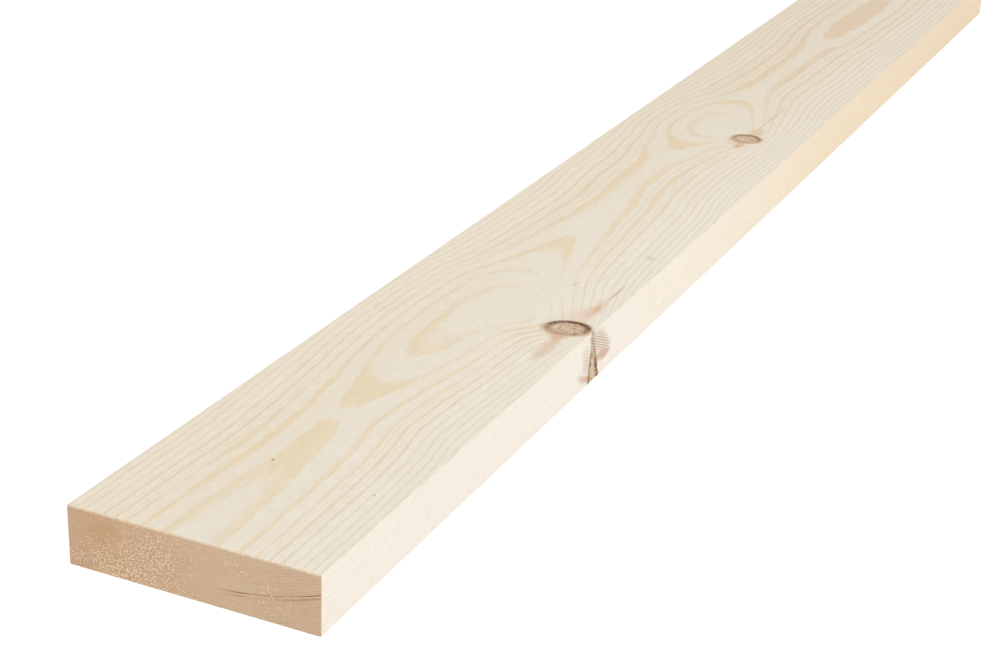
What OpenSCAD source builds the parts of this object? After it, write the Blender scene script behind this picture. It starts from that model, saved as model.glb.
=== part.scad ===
// A length of planed softwood board, square cut at both ends and lying on its wide face.
// +X runs along the grain, +Y across the board and +Z up. The origin is the middle of the underside.

/* [Stock size] */
// Length along the grain
plank_length = 1150; // [300:10:6000]
// Width across the wide face
plank_width = 120; // [60:1:300]
// Thickness between the two wide faces
plank_thickness = 28; // [10:1:75]

/* [Edges] */
// Radius that eases the four long arrises
arris_radius = 0.5; // [0.2:0.1:4]

/* [Hidden] */

// Sides of a full circle, so that an arris is a true arc
arc_sides = 48;

// One long arris of the section, at side -1 or 1 and at the height of its centre
module arris(side, height) {
    translate([side * (plank_width / 2 - arris_radius), height])
        circle(r = arris_radius, $fn = arc_sides);
}

// The sawn and planed section, standing on its own x axis
module section() {
    translate([-plank_width / 2, arris_radius])
        square([plank_width, plank_thickness - 2 * arris_radius]);
    translate([-plank_width / 2 + arris_radius, 0])
        square([plank_width - 2 * arris_radius, plank_thickness]);
    for (side = [-1, 1], height = [arris_radius, plank_thickness - arris_radius])
        arris(side, height);
}

// The whole piece: the section run along the grain and cut square at both ends
module plank() {
    color([0.91, 0.86, 0.72])
        rotate([90, 0, 90])
            linear_extrude(height = plank_length, center = true)
                section();
}

plank();
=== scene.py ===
import math

import bmesh
import bpy
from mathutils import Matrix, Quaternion, Vector, noise


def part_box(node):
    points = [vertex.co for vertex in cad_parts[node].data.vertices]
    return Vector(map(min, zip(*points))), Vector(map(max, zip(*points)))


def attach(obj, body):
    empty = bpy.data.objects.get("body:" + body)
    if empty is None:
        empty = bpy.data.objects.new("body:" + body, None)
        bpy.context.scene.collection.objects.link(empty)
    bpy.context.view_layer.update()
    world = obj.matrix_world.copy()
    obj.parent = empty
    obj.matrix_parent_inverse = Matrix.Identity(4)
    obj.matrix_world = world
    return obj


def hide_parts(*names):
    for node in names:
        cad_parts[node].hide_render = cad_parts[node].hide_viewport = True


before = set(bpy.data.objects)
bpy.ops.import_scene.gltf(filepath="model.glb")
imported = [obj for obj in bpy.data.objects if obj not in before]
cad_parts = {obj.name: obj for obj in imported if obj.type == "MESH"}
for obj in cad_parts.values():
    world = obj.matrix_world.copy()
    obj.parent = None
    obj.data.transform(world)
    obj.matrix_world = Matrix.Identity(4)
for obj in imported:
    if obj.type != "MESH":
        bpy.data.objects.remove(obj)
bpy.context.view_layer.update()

low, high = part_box("plank")
nearEnd = Vector((low.x, (low.y + high.y) / 2, low.z))
plankLength = high.x - low.x
plankHalf = (high.y - low.y) / 2
print("frame loaded, plank", tuple(round(v, 4) for v in high - low))


viewpoint = {
    "eye": (-0.5937, -0.3994, 0.4282),   # metres from the middle of the near end's foot
    "aim": (0.3064, 0.0059, 0.0),
    "roll": 2.23,                        # degrees, against the clock
    "lens": 72.65,
    "sensor": 36.0,
}


def placeCamera():
    camera = bpy.data.objects.new("camera", bpy.data.cameras.new("camera"))
    camera.data.lens = viewpoint["lens"]
    camera.data.sensor_width = viewpoint["sensor"]
    camera.data.clip_start = 0.01
    eye = nearEnd + Vector(viewpoint["eye"])
    look = nearEnd + Vector(viewpoint["aim"]) - eye
    turn = look.to_track_quat("-Z", "Y") @ Quaternion((0, 0, 1), math.radians(viewpoint["roll"]))
    camera.rotation_euler = turn.to_euler()
    camera.location = eye
    bpy.context.scene.collection.objects.link(camera)
    bpy.context.scene.camera = camera


placeCamera()
print("camera placed")


# shader graphs: a Wire is one socket that can be used in sums
class Wire:
    def __init__(self, graph, socket):
        self.graph = graph
        self.socket = socket

    def __add__(self, other):
        return self.graph.maths("ADD", self, other)

    def __radd__(self, other):
        return self.graph.maths("ADD", other, self)

    def __sub__(self, other):
        return self.graph.maths("SUBTRACT", self, other)

    def __rsub__(self, other):
        return self.graph.maths("SUBTRACT", other, self)

    def __mul__(self, other):
        return self.graph.maths("MULTIPLY", self, other)

    def __rmul__(self, other):
        return self.graph.maths("MULTIPLY", other, self)

    def __truediv__(self, other):
        return self.graph.maths("DIVIDE", self, other)

    def __rtruediv__(self, other):
        return self.graph.maths("DIVIDE", other, self)


class Graph:
    def __init__(self, name):
        self.material = bpy.data.materials.new(name)
        self.material.use_nodes = True
        self.tree = self.material.node_tree
        self.tree.nodes.clear()

    def add(self, kind, settings=None, sockets=None, out=0):   # a node, as one of its outputs
        node = self.tree.nodes.new(kind)
        for name, value in (settings or {}).items():
            if name == "stops":
                fillRamp(node.color_ramp, value)
            elif name == "points":
                fillCurve(node.mapping, value)
            else:
                setattr(node, name, value)
        for key, value in (sockets or {}).items():
            if isinstance(value, Wire):
                self.tree.links.new(value.socket, node.inputs[key])
            else:
                node.inputs[key].default_value = value
        return Wire(self, node.outputs[out]) if len(node.outputs) else node

    def maths(self, operation, first, second=0.0):
        return self.add("ShaderNodeMath", {"operation": operation}, {0: first, 1: second})

    def smooth(self, value, start, end):   # 0 at start, 1 at end, eased
        return self.add("ShaderNodeMapRange", {"interpolation_type": "SMOOTHSTEP"},
                        {0: value, 1: start, 2: end})

    def join(self, x, y, z):
        return self.add("ShaderNodeCombineXYZ", None, {0: x, 1: y, 2: z})

    def cloud(self, place, kind):          # noise about 0, mostly from -1 to 1
        size, detail, rough, seed = kind
        scaled = self.join(*(wire / length for wire, length in zip(place, size)))
        speck = self.add("ShaderNodeTexNoise", {"noise_dimensions": "4D"},
                         {"Vector": scaled, "W": seed, "Scale": 1.0, "Detail": detail, "Roughness": rough})
        return (speck - 0.5) * 2.4

    def bell(self, first, second):         # 1 at the middle, falling away smoothly
        return self.maths("EXPONENT", 0.0 - (first * first + second * second))

    def mix(self, amount, under, over, mode="MIX"):
        return self.add("ShaderNodeMix", {"data_type": "RGBA", "blend_type": mode, "clamp_factor": True},
                        {0: amount, 6: under, 7: over}, out=2)

    def tint(self, amount, under, colour):   # towards the colour multiplied by another
        return self.mix(amount, under, self.mix(1.0, under, colour, "MULTIPLY"))

    def ramp(self, value, stops, kind):
        return self.add("ShaderNodeValToRGB", {"stops": [(place, kind(*colour)) for place, colour in stops]},
                        {0: value})


def fillRamp(ramp, stops):
    while len(ramp.elements) < len(stops):
        ramp.elements.new(0.5)
    for element, (position, colour) in zip(ramp.elements, stops):
        element.position = position
        element.color = colour


def fillCurve(mapping, points):
    curve = mapping.curves[0]
    while len(curve.points) < len(points):
        curve.points.new(0.5, 0.5)
    for point, place in zip(curve.points, points):
        point.location = place
        point.handle_type = "AUTO_CLAMPED"
    mapping.update()


def tone(red, green, blue):   # a display colour, 0 to 255, as the shader wants it
    return tuple((c / 255 / 12.92 if c < 10.3 else ((c / 255 + 0.055) / 1.055) ** 2.4)
                 for c in (red, green, blue)) + (1.0,)


def share(red, green, blue):   # a colour to multiply by
    return (red, green, blue, 1.0)


# Lengths are in metres. A noise is its size along, across and up, then its detail, roughness and seed.
# Colours are display colours, 0 to 255, and tints are shares to multiply a colour by.

# the tree that the plank was sawn from
growth = {
    "pithHeight": 0.150,      # the heart of the tree lies this far above the top face
    "ringWidth": 0.0013,
    "plainRings": 3.0,        # further out than this many rings, the years grow wider
    "widening": 0.06,
    "push": 0.00012,          # how hard a knot pushes the fibres aside, in square metres
    "pushAhead": 0.12,        # how quickly that fades along the plank
    "slow": ((0.09, 0.03, 0.03), 1.0, 0.5, 0.0),
    "slowRings": 0.12,
    "quick": ((0.016, 0.0035, 0.0035), 3.0, 0.6, 3.0),
    "quickRings": 0.14,
    # how the top face dips through the rings along the plank: distance from the near end, rings
    "dip": [(0.0, -0.53), (0.054, -0.38), (0.075, -0.26), (0.1, -0.16), (0.121, -0.03), (0.129, 0.07),
            (0.138, -0.02), (0.166, -0.33), (0.2, -0.97), (0.258, -1.40), (0.294, -1.22), (0.314, -0.93),
            (0.336, -0.03), (0.366, 0.62), (0.398, 1.0), (0.444, 1.38), (0.516, 1.6), (0.566, 1.0),
            (0.588, 0.7), (0.61, 0.03), (0.636, -0.3), (0.666, 0.0), (0.70, 1.0), (0.744, 1.58),
            (0.804, 1.6), (0.852, 1.5), (0.886, 1.0), (0.924, 0.78), (0.972, 0.70), (1.044, 0.80),
            (1.1, 1.15), (1.15, 1.3)],
    # how far the middle of the figure strays from the plank's middle line
    "stray": [(0.0, 0.0), (0.072, 0.0), (0.144, 0.0042), (0.21, 0.0046), (0.336, 0.0034), (0.45, 0.004),
              (0.516, 0.009), (0.57, 0.009), (0.612, 0.0084), (0.67, 0.0072), (0.744, 0.005),
              (0.816, 0.0024), (0.9, 0.0024), (1.02, 0.0), (1.15, 0.0)],
    "late": (0.58, 0.84),     # where in a ring the dense late wood starts and is full
    # where late wood shows more or less: along, across, half length, half width, change
    "show": [(0.088, 0.003, 0.030, 0.012, 0.40),
             (0.160, 0.005, 0.026, 0.010, 0.35),
             (0.085, 0.0235, 0.030, 0.005, 0.90),
             (0.285, -0.018, 0.045, 0.012, -0.80),
             (0.257, -0.028, 0.013, 0.010, 1.30),
             (0.320, -0.008, 0.035, 0.024, -0.45),
             (0.385, 0.006, 0.024, 0.010, 0.20),
             (0.480, 0.0205, 0.07, 0.006, 0.60),
             (0.480, -0.0105, 0.06, 0.007, 0.50),
             (0.580, 0.007, 0.018, 0.012, 0.35),
             (0.632, -0.008, 0.018, 0.010, -0.80),
             (0.652, 0.006, 0.016, 0.022, -0.50),
             (0.690, 0.010, 0.010, 0.010, 0.40),
             (0.800, 0.0165, 0.09, 0.005, 0.60),
             (0.800, -0.0085, 0.08, 0.005, 0.60),
             (0.940, 0.003, 0.07, 0.012, 0.40)],
}

# Knots: "along" and "across" place one on the top face. "lean", "tilt" and "spread" say how it moves and
# grows with depth, and "lift", "near", "far" and "side" how many rings it raises and how far around.
# A stain is ahead, beside, half length, half width, strength, colour.
# An edge mark lies on the right-hand face: ahead, below the top, half length, half width, slope,
# line spacing or 0 for a plain patch, strength, colour.
knots = [
    {"along": 0.272, "across": -0.0468, "lean": 0.13, "tilt": -0.079, "slant": -0.12, "spread": 6.0,
     "halfLength": 0.0098, "halfWidth": 0.0119, "bark": 1.0,
     "lift": 2.9, "near": 0.018, "far": 0.0312, "side": 0.0348,
     "stains": [(-0.0255, -0.0008, 0.0230, 0.0052, 0.85, (210, 187, 160)),
                (-0.0115, 0.0006, 0.0070, 0.0066, 0.80, (206, 170, 144)),
                (0.0155, 0.0006, 0.0130, 0.0095, 0.70, (220, 196, 173)),
                (0.0290, -0.0030, 0.0190, 0.0050, 0.80, (214, 186, 160)),
                (0.0300, -0.0036, 0.0080, 0.0022, 0.80, (203, 172, 132)),
                (0.0550, -0.0042, 0.0180, 0.0010, 0.80, (192, 176, 150))],
     "edgeMarks": [(0.0125, 0.0092, 0.0170, 0.0090, 0.44, 0.0014, 1.0, (176, 152, 130)),
                   (0.0165, 0.0176, 0.0125, 0.0042, 0.10, 0.0, 0.90, (194, 160, 136)),
                   (-0.0035, 0.0240, 0.0105, 0.0026, 0.38, 0.0, 1.0, (206, 160, 130)),
                   (-0.0105, 0.0215, 0.0060, 0.0034, 0.45, 0.0, 0.70, (196, 182, 156)),
                   (-0.0050, 0.0172, 0.0060, 0.0075, 0.30, 0.0, 0.70, (204, 186, 176)),
                   (-0.0050, 0.0110, 0.0085, 0.0085, 0.50, 0.0019, 0.75, (200, 184, 158))]},
    {"along": 0.6172, "across": -0.0245, "lean": 0.13, "tilt": -0.16, "slant": 0.0, "spread": 6.0,
     "halfLength": 0.0094, "halfWidth": 0.0096, "bark": 0.7,
     "lift": 2.0, "near": 0.018, "far": 0.0288, "side": 0.0230,
     "stains": [(-0.0140, 0.0000, 0.0110, 0.0042, 0.90, (204, 170, 136)),
                (-0.0085, 0.0055, 0.0100, 0.0075, 0.65, (214, 188, 158)),
                (0.0140, -0.0016, 0.0135, 0.0064, 0.90, (213, 188, 156)),
                (0.0480, -0.0006, 0.0400, 0.0014, 0.80, (206, 190, 158))],
     "edgeMarks": []},
]


def profile(graph, value, stations):   # a smooth curve through stations, in their own units
    starts = [s[0] for s in stations]
    heights = [s[1] for s in stations]
    first, length = starts[0], starts[-1] - starts[0]
    floor, rise = min(heights), max(heights) - min(heights)
    points = [((a - first) / length, (b - floor) / rise) for a, b in stations]
    curve = graph.add("ShaderNodeFloatCurve", {"points": points}, {"Value": (value - first) / length})
    return curve * rise + floor


def growthField(graph):
    place = graph.add("ShaderNodeTexCoord", None, None, out="Object")
    x, y, z = (graph.add("ShaderNodeSeparateXYZ", None, {0: place}, out=axis) for axis in "XYZ")
    along = x - nearEnd.x
    down = high.z - z                       # below the top face
    depth = down + growth["pithHeight"]
    flow = y                                # stays level along a fibre, so it bends round the knots
    lift = 0.0
    around = []
    for knot in knots:
        ahead = along - knot["along"] - down * knot["lean"]
        beside = y - knot["across"] - down * knot["tilt"]
        past = graph.maths("GREATER_THAN", ahead, 0.0)
        reach = past * (1 / knot["far"] - 1 / knot["near"]) + 1 / knot["near"]
        lift = lift + graph.bell(ahead * reach, beside / knot["side"]) * knot["lift"]
        grow = 1 / (down * knot["spread"] + 1.0)
        p = (ahead - beside * knot["slant"]) * grow / knot["halfLength"]
        q = beside * grow / knot["halfWidth"]
        far = graph.maths("SQRT", p * p + q * q)
        around.append({"ahead": ahead, "beside": beside, "p": p, "q": q, "far": far})
        square = beside * beside + ahead * ahead * growth["pushAhead"]
        flow = flow - beside * growth["push"] / graph.maths("MAXIMUM", square, growth["push"])
    wander = y - profile(graph, along, growth["stray"])
    radius = graph.maths("SQRT", wander * wander + depth * depth)
    rings = (radius - growth["pithHeight"]) / growth["ringWidth"]
    rings = rings + profile(graph, along, growth["dip"]) - lift
    slow = graph.cloud((along, flow, z), growth["slow"])
    quick = graph.cloud((along, flow, z), growth["quick"])
    rings = rings + slow * growth["slowRings"] + quick * growth["quickRings"]
    rings = rings - graph.maths("MAXIMUM", rings - growth["plainRings"], 0.0) * growth["widening"]
    number = graph.maths("FLOOR", rings)
    part = rings - number
    chance = graph.add("ShaderNodeTexWhiteNoise", {"noise_dimensions": "1D"}, {"W": number})
    return {"along": along, "y": y, "z": z, "down": down, "flow": flow, "rings": rings, "part": part,
            "chance": chance, "around": around, "quick": quick}


knotLook = {
    "grit": ((0.0015, 0.0015, 0.0020), 2.0, 0.6, 11.0),
    "fleck": ((0.0038, 0.0030, 0.0040), 2.0, 0.7, 12.0),
    "halo": (205, 166, 130),
    "neck": (160, 132, 106),  # joins the knot to the fan of lines on the right-hand face
    "neckHalf": 0.0022,
    "heart": [(0.05, (112, 84, 58)), (0.28, (162, 132, 102)), (0.52, (194, 166, 136)),
              (0.9, (222, 198, 172))],
    "bark": (148, 116, 84),
    "darkBark": (96, 68, 44),
    "barkChips": (160, 130, 100),
}


def knotWood(graph, field, wood, rightFace):
    x, y, z = (field[k] for k in ("along", "y", "z"))
    grit = graph.cloud((x, y, z), knotLook["grit"])
    fleck = graph.cloud((x, y, z), knotLook["fleck"])
    wideFace = 1.0 - rightFace
    dents = 0.0
    for knot, spot in zip(knots, field["around"]):
        ahead, beside, p, q, far = (spot[k] for k in ("ahead", "beside", "p", "q", "far"))
        for forward, aside, length, width, strength, colour in knot["stains"]:
            a = (ahead - forward) / length
            b = graph.maths("ABSOLUTE", beside - aside) / width
            mask = graph.smooth(1.0 - a * a - b + field["quick"] * 0.3 + fleck * 0.2, -0.2, 0.8)
            wood = graph.mix(mask * wideFace * strength, wood, tone(*colour))
        for forward, deep, length, width, slope, spacing, strength, colour in knot["edgeMarks"]:
            a = x - (knot["along"] + forward)
            b = field["down"] - deep - a * slope
            inside = 1.0 - a * a / length ** 2 - graph.maths("ABSOLUTE", b) / width
            mask = graph.smooth(inside + fleck * 0.15, -0.1, 0.7)
            if spacing:
                wave = graph.maths("SINE", b * (2 * math.pi / spacing) + grit * 0.5)
                mask = mask * (graph.smooth(wave, -0.4, 0.9) * 0.7 + 0.3)
            wood = graph.mix(mask * rightFace * strength, wood, tone(*colour))
        far = far + grit * 0.06 + fleck * 0.08
        beyond = graph.smooth(p / far, -0.6, 0.8)              # 1 on the far side of the knot
        dark = graph.maths("MAXIMUM", beyond, rightFace * 0.8)
        halo = graph.smooth(far, 1.3, 1.02) * (1.0 - beyond * 0.8) * wideFace
        wood = graph.mix(halo * 0.85, wood, tone(*knotLook["halo"]))
        neck = graph.bell((ahead - beside * knot["slant"]) / knotLook["neckHalf"], (far - 1.1) / 0.16)
        wood = graph.mix(neck * rightFace * graph.smooth(fleck, -0.8, 0.2), wood, tone(*knotLook["neck"]))
        heart = graph.ramp(grit * 0.40 + fleck * 0.75 + 0.58, knotLook["heart"], tone)
        wood = graph.mix(graph.smooth(far, 1.05, 0.95), wood, heart)
        # bark rings the knot on a wide face, and lines both sides of it where the saw cut it lengthwise
        chord = graph.maths("SQRT", graph.maths("MAXIMUM", 1.0 - q * q, 0.03))
        sides = graph.maths("ABSOLUTE", p) / chord + 0.12 + grit * 0.3 + fleck * 0.8
        edge = far + rightFace * (sides - far)
        ring = graph.smooth(edge, 0.55, 0.82) * graph.smooth(far, 1.08, 0.94)
        bark = ring * graph.smooth(dark * 0.42 + fleck * 1.4 + grit * 0.7, -0.2, 0.45) * knot["bark"]
        shade = graph.mix(dark, tone(*knotLook["bark"]), tone(*knotLook["darkBark"]))
        shade = graph.mix(graph.smooth(grit, 0.05, 0.6), shade, tone(*knotLook["barkChips"]))
        wood = graph.mix(bark, wood, shade)
        dents = dents + bark
    return wood, dents


planed = {
    "edgeWood": (230, 222, 206),
    "middleWood": (227, 219, 203),
    "leftTint": (0.99, 0.97, 0.93),
    "rightTint": (1, 1, 1.04),               # on the right-hand face
    "mottle": ((0.005, 0.0018, 0.0018), 2.0, 0.6, 13.0),
    "mottleTint": (0.945, 0.94, 0.925),
    "blush": ((0.011, 0.004, 0.004), 1.0, 0.5, 14.0),
    "blushTint": (1.0, 0.98, 0.98),
    "fibre": ((0.016, 0.0005, 0.0005), 2.0, 0.6, 7.0),
    "fibreTint": (0.94, 0.93, 0.90),
    "pores": ((0.0035, 0.00028, 0.00028), 0.0, 0.5, 9.0),
    "poreTint": (0.80, 0.76, 0.70),
    "patchy": ((0.05, 0.008, 0.008), 1.0, 0.5, 5.0),         # where the late wood's lines fade
    "ragged": ((0.012, 0.0016, 0.0016), 2.0, 0.6, 15.0),     # and where they break
    # tints by distance along the plank, as a share of its length
    "warmth": [(0.0, (1, 1, 1)), (0.36, (1, 1, 1)), (0.6, (0.96, 0.95, 0.93)), (1.0, (0.94, 0.91, 0.87))],
    "rightWarmth": [(0.0, (1, 1, 1)), (0.28, (1, 1, 1)), (0.43, (1, 0.975, 0.915)), (0.57, (1, 0.92, 0.78)),
                    (0.72, (0.99, 0.905, 0.76)), (0.9, (0.97, 0.875, 0.735))],
    "lateAlong": [(0.0, (1, 1, 1)), (0.6, (0.99, 0.98, 1)), (0.85, (0.94, 0.92, 0.97))],
    # late wood's tint by distance from the plank's middle line, as a share of half its width
    "late": [(0.0, (0.99, 0.90, 0.745)), (0.42, (0.975, 0.895, 0.755)), (0.62, (0.92, 0.875, 0.79)),
             (0.85, (0.924, 0.906, 0.874))],
    "roughness": 0.6,
    "shine": 0.3,
    "grain": 0.4,
    "grainDepth": 0.0003,
    # small blemishes on the top face: along, across, half length, half width, strength, colour
    "marks": [(0.0756, 0.0072, 0.0009, 0.0006, 1.3, (120, 98, 66)),
              (0.329, -0.0270, 0.0040, 0.0011, 0.7, (186, 178, 160)),
              (0.342, -0.0372, 0.0050, 0.0010, 0.6, (190, 182, 166)),
              (0.356, -0.0240, 0.0060, 0.0012, 0.5, (206, 200, 164)),
              (0.384, -0.0485, 0.0034, 0.0034, 0.80, (200, 192, 178)),
              (0.068, -0.0466, 0.0010, 0.0006, 0.9, (150, 132, 104))],
}


def planedWood():
    graph = Graph("planedPine")
    field = growthField(graph)
    along, flow, y, z, part = (field[k] for k in ("along", "flow", "y", "z", "part"))
    mottle, blush, fibre, pores, patchy, ragged = (
        graph.cloud((along, flow, z), planed[k])
        for k in ("mottle", "blush", "fibre", "pores", "patchy", "ragged"))
    length = along / plankLength
    outward = graph.maths("ABSOLUTE", y) / plankHalf
    rightFace = graph.smooth(y, low.y + 0.0006, low.y + 0.0001)
    topFace = graph.smooth(z, high.z - 0.002, high.z)

    base = graph.mix(graph.smooth(outward, 0.2, 0.75), tone(*planed["middleWood"]), tone(*planed["edgeWood"]))
    base = graph.mix(1.0, base, graph.ramp(length, planed["warmth"], share), "MULTIPLY")
    base = graph.tint(graph.smooth(y, -0.01, 0.03), base, share(*planed["leftTint"]))
    base = graph.tint(graph.smooth(mottle, -0.55, 0.55), base, share(*planed["mottleTint"]))
    base = graph.tint(graph.smooth(blush, -0.5, 0.5), base, share(*planed["blushTint"]))
    base = graph.mix(rightFace, base, share(*planed["rightTint"]), "MULTIPLY")
    base = graph.mix(rightFace, base, graph.ramp(length, planed["rightWarmth"], share), "MULTIPLY")

    start, full = growth["late"]
    show = 1.0
    for x, across, half, width, change in growth["show"]:
        show = show + graph.bell((along - x) / half, (y - across) / width) * change
    dense = graph.smooth(part + (show - 1.0) * 0.3, start, full) * graph.smooth(part, 1.0, 0.95)
    twin = graph.smooth(part, 0.16, 0.26) * graph.smooth(part, 0.36, 0.28)       # a false ring in some years
    late = graph.mix(1.0, graph.ramp(outward, planed["late"], share),
                     graph.ramp(length, planed["lateAlong"], share), "MULTIPLY")
    strength = (field["chance"] * 0.45 + 0.72 + patchy * 0.34 + ragged * 0.50 + fibre * 0.20) * show
    strength = strength * (1.0 - rightFace * 0.85)
    amount = (dense + twin * graph.smooth(field["chance"], 0.55, 0.8) * 0.45) * strength
    wood = graph.tint(amount, base, late)

    wood = graph.tint(graph.smooth(fibre, -0.2, 1.2) * 0.6, wood, share(*planed["fibreTint"]))
    for x, across, half, width, strength, colour in planed["marks"]:
        mark = graph.bell((along - x) / half, (y - across) / width) * topFace * strength
        wood = graph.mix(graph.smooth(mark + mottle * 0.12, 0.05, 1.0) * 0.8, wood, tone(*colour))
    wood = graph.tint(graph.smooth(pores, 0.95, 1.3) * 0.4, wood, share(*planed["poreTint"]))
    wood, dents = knotWood(graph, field, wood, rightFace)
    height = dense * 0.35 + fibre * 0.3 - pores * 0.1 - dents * 2.0
    bump = graph.add("ShaderNodeBump", None,
                     {"Strength": planed["grain"], "Distance": planed["grainDepth"], "Height": height})
    shader = graph.add("ShaderNodeBsdfPrincipled", None,
                       {"Base Color": wood, "Roughness": planed["roughness"] - dense * 0.06 + dents * 0.2,
                        "Specular IOR Level": planed["shine"], "Normal": bump})
    graph.add("ShaderNodeOutputMaterial", None, {"Surface": shader})
    return graph.material


sawn = {
    "leftWood": (202, 171, 140),
    "rightWood": (204, 177, 148),
    "paleWood": (220, 192, 160),
    "lateWood": (164, 126, 94),
    "darkYears": (142, 94, 60),
    "fluff": (243, 218, 184),
    "arrisHighlight": (240, 222, 192),                 # a painted highlight along the top arris
    "stain": (188, 148, 102),
    "stainPlace": (0.0425, 0.020, 0.0070, 0.0080),           # across, height, half width, half height
    "blotchTint": (0.92, 0.90, 0.88),
    "streakTint": (0.80, 0.74, 0.68),
    "hollowShadeTint": (0.80, 0.73, 0.66),
    "rough": ((0.002, 0.0010, 0.0010), 2.0, 0.6, 21.0),
    "blotch": ((1.0, 0.016, 0.010), 1.0, 0.5, 23.0),
    "streak": ((0.42, 0.0042, 0.01), 2.0, 0.65, 24.0),       # across the rings, along them, into the wood
    "lineShare": 1.4,                        # fine lines to a ring
    # years that show dark, and where they do: ring, half width, then across, half width, strength
    "heavyRings": [(14.1, 0.19, [(-0.0215, 0.0060, 1.0), (-0.0360, 0.0120, 0.60), (-0.0560, 0.0085, 1.0)]),
                   (15.2, 0.16, [(-0.0215, 0.0050, 0.7), (-0.0390, 0.0070, 0.5), (-0.0540, 0.0090, 0.8)])],
    # where the saw left loose fibre ends: across, height, half width, half height, amount
    "fluffy": [(0.032, 0.003, 0.026, 0.013, 1.0),
               (0.020, 0.014, 0.017, 0.009, 0.9),
               (0.020, 0.023, 0.016, 0.005, 0.55),
               (-0.022, 0.021, 0.009, 0.006, 0.40),
               (-0.038, 0.012, 0.010, 0.006, 0.40),
               (-0.040, 0.003, 0.008, 0.004, 0.30)],
    "tuftSize": 0.00112,
    "roughness": 0.85,
    "shine": 0.15,
    "grain": 0.25,
    "grainDepth": 0.0004,
}


def sawnWood():
    graph = Graph("sawnPine")
    field = growthField(graph)
    along, y, z, rings, chance = (field[k] for k in ("along", "y", "z", "rings", "chance"))
    rough = graph.cloud((along, y, z), sawn["rough"])
    blotch = graph.cloud((0.0, y, z), sawn["blotch"])
    streak = graph.cloud((rings, y, along), sawn["streak"])

    wood = graph.mix(graph.smooth(y, 0.03, -0.03), tone(*sawn["leftWood"]), tone(*sawn["rightWood"]))
    wood = graph.tint(graph.smooth(blotch, -0.2, 1.0) * 0.6, wood, share(*sawn["blotchTint"]))
    across, height, width, tall = sawn["stainPlace"]
    stain = graph.bell((y - across) / width, (z - height) / tall) * graph.smooth(rough + blotch, -0.8, 0.3)
    wood = graph.mix(stain * 0.7, wood, tone(*sawn["stain"]))
    wood = graph.tint(graph.smooth(streak, 0.0, 0.7) * 0.7, wood, share(*sawn["streakTint"]))
    wood = graph.mix(graph.smooth(streak, -0.1, -0.6) * 0.4, wood, tone(*sawn["paleWood"]))

    part = graph.maths("FRACT", rings * sawn["lineShare"])
    lines = graph.smooth(part, 0.55, 0.85) * graph.smooth(part, 1.0, 0.9)
    sides = graph.smooth(y, 0.040, 0.054) * 0.55 + graph.smooth(y, -0.015, -0.055) * 0.40
    wood = graph.mix(lines * (chance * 0.22 + 0.08 + sides + streak * 0.2), wood, tone(*sawn["lateWood"]))
    broken = graph.smooth(streak + rough * 0.4, -1.1, 0.0)
    for ring, width, spells in sawn["heavyRings"]:
        heavy = 0.0
        for across, half, strength in spells:
            heavy = heavy + graph.bell((y - across) / half, 0.0) * strength
        heavy = graph.bell((rings - ring) / width, 0.0) * heavy * broken
        wood = graph.mix(heavy, wood, tone(*sawn["darkYears"]))

    loose = 0.0
    for across, height, width, tall, much in sawn["fluffy"]:
        patch = graph.bell((y - across) / width, (z - height) / tall)
        loose = graph.maths("MAXIMUM", loose, patch * much)
    flat = {"voronoi_dimensions": "2D"}
    spot = graph.join(y / sawn["tuftSize"], z / sawn["tuftSize"], 0.0)
    cell = {"Vector": spot, "Scale": 1.0, "Randomness": 0.95}
    reach = graph.add("ShaderNodeTexVoronoi", flat, cell)
    lot = graph.add("ShaderNodeSeparateXYZ", None, {0: graph.add("ShaderNodeTexVoronoi", flat, cell, out=1)})
    tuft = graph.smooth(reach + rough * 0.25, 0.44, 0.06) * graph.smooth(lot + loose * 0.95, 0.85, 1.35)
    # painted shade: darker in the hollows between the raised tufts where the saw left loose fibre
    hollowShade = graph.smooth(reach + rough * 0.2, 0.3, 0.7) * loose
    wood = graph.tint(hollowShade * 0.7, wood, share(*sawn["hollowShadeTint"]))
    wood = graph.mix(tuft * 0.95, wood, tone(*sawn["fluff"]))
    wood = graph.tint(graph.smooth(rough, 0.1, -0.6) * 0.4, wood, share(*sawn["streakTint"]))
    # a painted highlight: the top edge of the sawn end turns pale, broken up by noise
    rim = graph.smooth(z, high.z - 0.0013, high.z - 0.0003) * graph.smooth(rough, -0.6, 0.3)
    wood = graph.mix(rim * 0.75, wood, tone(*sawn["arrisHighlight"]))

    height = tuft * 0.7 + rough * 0.5 + streak * 0.3 - lines * 0.3
    bump = graph.add("ShaderNodeBump", None,
                     {"Strength": sawn["grain"], "Distance": sawn["grainDepth"], "Height": height})
    shader = graph.add("ShaderNodeBsdfPrincipled", None,
                       {"Base Color": wood, "Roughness": sawn["roughness"],
                        "Specular IOR Level": sawn["shine"], "Normal": bump})
    graph.add("ShaderNodeOutputMaterial", None, {"Surface": shader})
    return graph.material


board = {
    "arris": 0.0005,
    "arrisSteps": 3,
    "hold": 0.0011,           # a loop this far from each edge keeps the flats flat
    "knotCells": 0.0008,
    "knotReach": 0.0165,
    "knotMargin": 0.0012,     # the knots' cells stop this far from the edges
    "knotGap": 0.005,         # a knot this close to the right-hand face has cells there too
    "endCells": 0.0012,
    "endMargin": 0.0006,
    "barkDepth": 0.00035,
    "sawDepth": 0.00022,
    "flat": 0.0001,           # a point this close to a face lies on it
    "rim": 0.0004,            # the saw tears more this close to an end's outline
    "sharpAngle": 50,
}


def cut(mesh, faces, axis, place):
    normal = Vector((0, 0, 0))
    normal[axis] = 1.0
    edges = {e for f in faces for e in f.edges}
    verts = {v for f in faces for v in f.verts}
    bmesh.ops.bisect_plane(mesh, geom=list(verts) + list(edges) + list(faces), dist=1e-7,
                           plane_co=normal * place, plane_no=normal)


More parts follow.
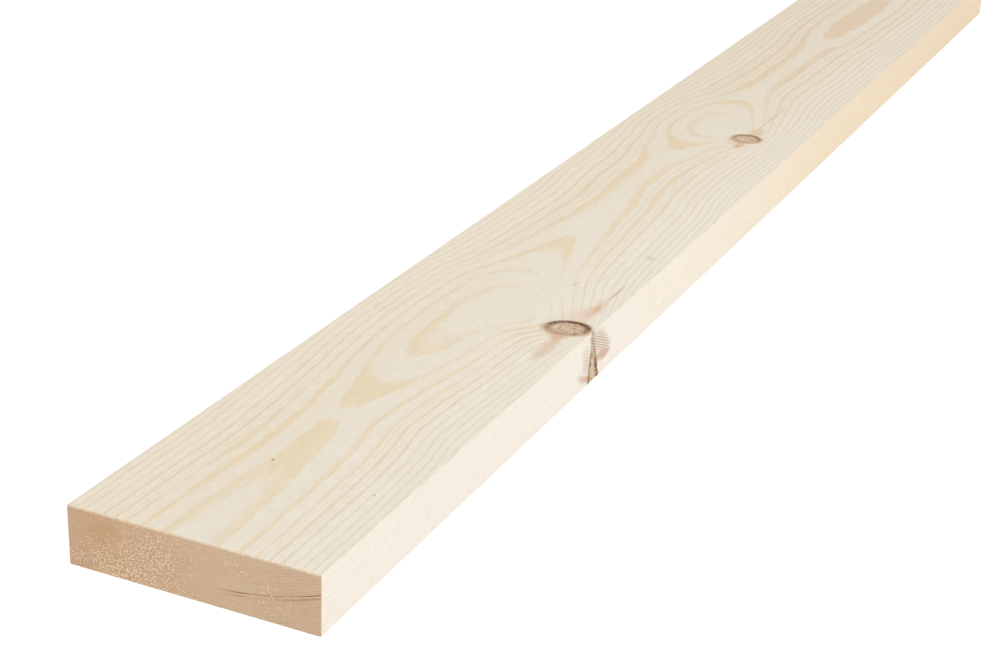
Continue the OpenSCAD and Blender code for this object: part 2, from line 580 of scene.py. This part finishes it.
def cutCells(mesh, chosen, axis, start, end, step):
    count = round((end - start) / step)
    for i in range(1, count):
        place = start + (end - start) * i / count
        cut(mesh, [f for f in mesh.faces if chosen(f)], axis, place)


def knotCentre(knot, z):      # where the branch passes at that height
    down = high.z - z
    return nearEnd.x + knot["along"] + down * knot["lean"], knot["across"] + down * knot["tilt"]


def carveKnots(mesh):
    for vert in mesh.verts:
        for knot in knots:
            x, y = knotCentre(knot, vert.co.z)
            grow = 1 / ((high.z - vert.co.z) * knot["spread"] + 1)
            p = (vert.co.x - x - (vert.co.y - y) * knot["slant"]) * grow / knot["halfLength"]
            q = (vert.co.y - y) * grow / knot["halfWidth"]
            far = math.hypot(p, q) + 0.06 * noise.noise(vert.co / 0.002)
            wideFace = min(high.z - vert.co.z, vert.co.z) < board["flat"]
            rightFace = vert.co.y < low.y + board["flat"]
            if far > 1.15 or not (wideFace or rightFace):
                continue
            uneven = 0.45 + 0.4 * p / max(far, 0.1) + 0.5 * noise.noise(vert.co / 0.003)
            bark = max(0.0, 1 - abs(far - 0.85) / 0.2) * uneven
            check = max(0.0, 0.25 - abs(noise.noise(vert.co / 0.004))) * 2 if far < 0.9 else 0.0
            depth = board["barkDepth"] * (max(0.0, bark) + check + 0.2 * max(0.0, 1 - far))
            vert.co -= vert.normal * depth


def roughenEnds(mesh):
    for vert in mesh.verts:
        for end, inward in ((low.x, 1), (high.x, -1)):
            if abs(vert.co.x - end) < board["flat"] / 2:
                across = min(vert.co.y - low.y, high.y - vert.co.y)
                upright = min(vert.co.z - low.z, high.z - vert.co.z)
                rim = min(across, upright) < board["rim"]
                wave = 0.5 + 0.5 * noise.noise(vert.co / 0.0016) + 0.2 * noise.noise(vert.co / 0.009)
                vert.co.x += inward * board["sawDepth"] * max(0.0, wave) * (1.2 if rim else 0.8)


baking = {
    "gap": 0.005,                          # between the faces on the map
    "lowest": 0.004,
    "endTall": 0.11,
    "rows": (("top", 0.225), ("bottom", 0.11), ("right", 0.056), ("left", 0.034)),
}


def layOut(mesh):             # one map for baking: the long faces in two lengths each, one above the other
    places = mesh.loops.layers.uv.new("OFBake")
    middle = (low.x + high.x) / 2
    rows = {}
    height = baking["lowest"]
    for side, tall in baking["rows"]:
        for half in (0, 1):
            rows[side, half] = (height, tall)
            height += tall + baking["gap"]
    for face in mesh.faces:
        n = face.normal
        half = int(face.calc_center_median().x > middle)
        for loop in face.loops:
            co = loop.vert.co
            y = (co.y - low.y) / (high.y - low.y)
            z = (co.z - low.z) / (high.z - low.z)
            if abs(n.x) > 0.7:
                loop[places].uv = ((0.005 if n.x < 0 else 0.505) + 0.49 * y, height + baking["endTall"] * z)
                continue
            wide = abs(n.z) > 0.72
            side = ("top" if n.z > 0 else "bottom") if wide else ("left" if n.y > 0 else "right")
            start, tall = rows[side, half]
            along = (co.x - (middle if half else low.x)) / (middle - low.x)
            loop[places].uv = (0.004 + 0.992 * along, start + tall * (y if wide else z))


def makeBoard():
    mesh = bmesh.new()
    bmesh.ops.create_cube(mesh, size=1.0)
    bmesh.ops.scale(mesh, vec=high - low, verts=mesh.verts)
    bmesh.ops.translate(mesh, vec=(high + low) / 2, verts=mesh.verts)
    arrises = [e for e in mesh.edges if abs(e.verts[0].co.x - e.verts[1].co.x) > plankLength / 2]
    bmesh.ops.bevel(mesh, geom=arrises, offset=board["arris"], offset_type="OFFSET", affect="EDGES",
                    segments=board["arrisSteps"], profile=0.5, material=-1)
    for axis in (0, 1, 2):
        cut(mesh, mesh.faces[:], axis, low[axis] + board["hold"])
        cut(mesh, mesh.faces[:], axis, high[axis] - board["hold"])
    cut(mesh, mesh.faces[:], 0, (low.x + high.x) / 2)
    print("blank planed,", len(mesh.faces), "faces")
    reach, cell, margin = board["knotReach"], board["knotCells"], board["knotMargin"]
    for knot in knots:
        x, y = knotCentre(knot, (low.z + high.z) / 2)
        start, end = x - reach, x + reach
        cut(mesh, mesh.faces[:], 0, start)
        cut(mesh, mesh.faces[:], 0, end)
        near = lambda f: start < f.calc_center_median().x < end
        cutCells(mesh, near, 0, start, end, cell)
        cutCells(mesh, near, 1, max(low.y + margin, y - reach), y + reach, cell)
        if y - knot["halfWidth"] < low.y + board["knotGap"]:
            beside = lambda f: near(f) and f.normal.y < -0.9
            cutCells(mesh, beside, 2, low.z + margin, high.z - margin, cell)
    carveKnots(mesh)
    print("knots cut,", len(mesh.faces), "faces")
    sawnFace = lambda f: abs(f.normal.x) > 0.7
    margin = board["endMargin"]
    cutCells(mesh, sawnFace, 1, low.y + margin, high.y - margin, board["endCells"])
    cutCells(mesh, sawnFace, 2, low.z + margin, high.z - margin, board["endCells"])
    for face in mesh.faces:
        face.smooth = True
        face.material_index = int(abs(face.normal.x) > 0.7)
    layOut(mesh)
    roughenEnds(mesh)
    print("ends sawn,", len(mesh.faces), "faces")
    bmesh.ops.recalc_face_normals(mesh, faces=mesh.faces)
    data = bpy.data.meshes.new("planedBoard")
    mesh.to_mesh(data)
    mesh.free()
    data.set_sharp_from_angle(angle=math.radians(board["sharpAngle"]))
    piece = bpy.data.objects.new("planedBoard", data)
    bpy.context.scene.collection.objects.link(piece)
    data.materials.append(planedWood())
    data.materials.append(sawnWood())
    return piece


piece = makeBoard()
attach(piece, "root")
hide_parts("plank")
print("board made,", len(piece.data.polygons), "faces")


studio = {
    "floorGlow": 0.8,
    "floorTone": 0.3,
    "sky": 0.985,
    "keyPower": 15.2,
    "keySize": 2.0,
    "keyFrom": (-0.2, -2.2, 1.5),     # from the point on the plank that it faces
    "keyAim": 0.5,                    # how far along the plank that point is
    "floorHalf": 12.0,
    "floorDrop": 0.0002,              # below the plank, so that the two faces don't fight
}


def makeStudio():
    scene = bpy.context.scene
    scene.view_settings.view_transform = "Standard"
    mesh = bmesh.new()
    bmesh.ops.create_grid(mesh, x_segments=1, y_segments=1, size=studio["floorHalf"])
    bmesh.ops.translate(mesh, vec=(0, 0, low.z - studio["floorDrop"]), verts=mesh.verts)
    data = bpy.data.meshes.new("floor")
    mesh.to_mesh(data)
    mesh.free()
    floor = bpy.data.objects.new("floor", data)
    scene.collection.objects.link(floor)
    graph = Graph("floorPaper")
    shade = studio["floorTone"]
    shader = graph.add("ShaderNodeBsdfPrincipled", None,
                       {"Base Color": (shade, shade, shade, 1), "Roughness": 0.9, "Specular IOR Level": 0.0,
                        "Emission Color": (1, 1, 1, 1), "Emission Strength": studio["floorGlow"]})
    clear = graph.add("ShaderNodeBsdfTransparent")             # from below, the floor lets the underside show
    under = graph.add("ShaderNodeNewGeometry", None, None, out="Backfacing")
    both = graph.add("ShaderNodeMixShader", None, {0: under, 1: shader, 2: clear})
    graph.add("ShaderNodeOutputMaterial", None, {"Surface": both})
    graph.material.cycles.emission_sampling = "NONE"           # or its halves light the underside unevenly
    data.materials.append(graph.material)
    world = bpy.data.worlds.new("studio")
    world.use_nodes = True
    sky = world.node_tree.nodes["Background"]
    sky.inputs["Color"].default_value = (1, 1, 1, 1)
    sky.inputs["Strength"].default_value = studio["sky"]
    scene.world = world
    key = bpy.data.objects.new("keyLight", bpy.data.lights.new("keyLight", "AREA"))
    key.data.shape = "DISK"
    key.data.size = studio["keySize"]
    key.data.energy = studio["keyPower"]
    aim = Vector((low.x + studio["keyAim"], 0, 0))
    key.location = aim + Vector(studio["keyFrom"])
    key.rotation_euler = (aim - key.location).to_track_quat("-Z", "Y").to_euler()
    scene.collection.objects.link(key)


makeStudio()
print("studio made")
